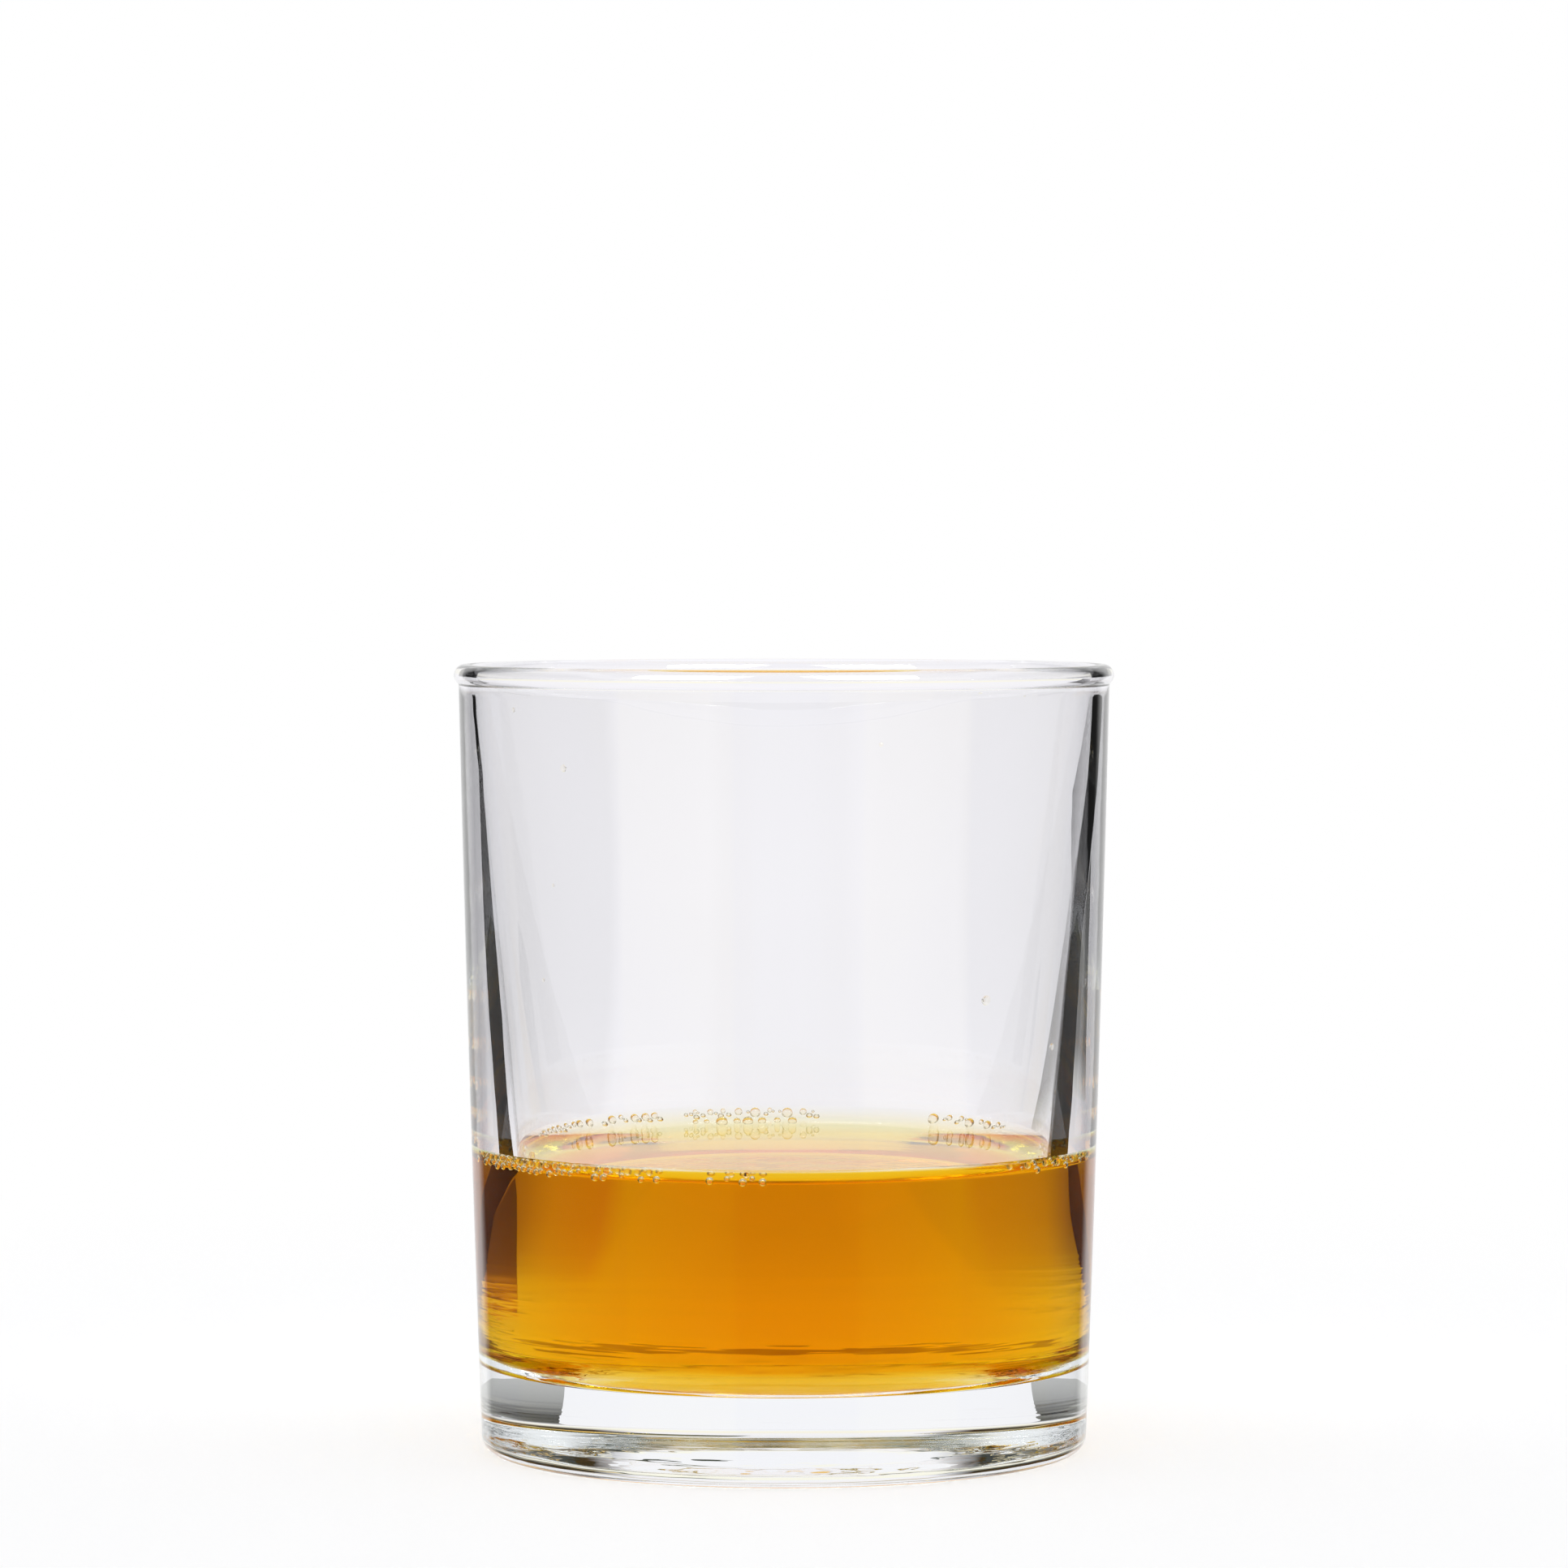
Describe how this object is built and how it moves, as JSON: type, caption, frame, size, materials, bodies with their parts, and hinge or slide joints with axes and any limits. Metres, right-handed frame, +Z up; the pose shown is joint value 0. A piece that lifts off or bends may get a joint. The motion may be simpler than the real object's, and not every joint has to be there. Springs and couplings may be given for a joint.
{
  "type": "whisky glass",
  "caption": "Clear pressed tumbler with a beaded rim, tapered wall and thick base, holding a poured measure of whisky with bubbles and droplets.",
  "frame": {"origin": "centre of the foot, on the surface that the glass stands on", "axes": "+Z up along the glass's axis of revolution, -Y towards the viewer of the picture, +X to the viewer's right"},
  "size_m": [0.08, 0.08, 0.0955],
  "materials": {
    "soda_lime_glass": "polished",
    "whisky": "polished",
    "whisky_film": "polished",
    "whisky_drops": "polished"
  },
  "bodies": {
    "glass": {"tumbler": "soda_lime_glass", "droplets": "whisky_drops"},
    "drink": {"whisky": "whisky", "bubbles": "whisky_film"}
  },
  "joints": [
    {"name": "swirl", "type": "hinge", "parent": "glass", "child": "drink", "pos_m": [0, 0, 0], "axis": [0, 0, 1], "continuous": true}
  ]
}
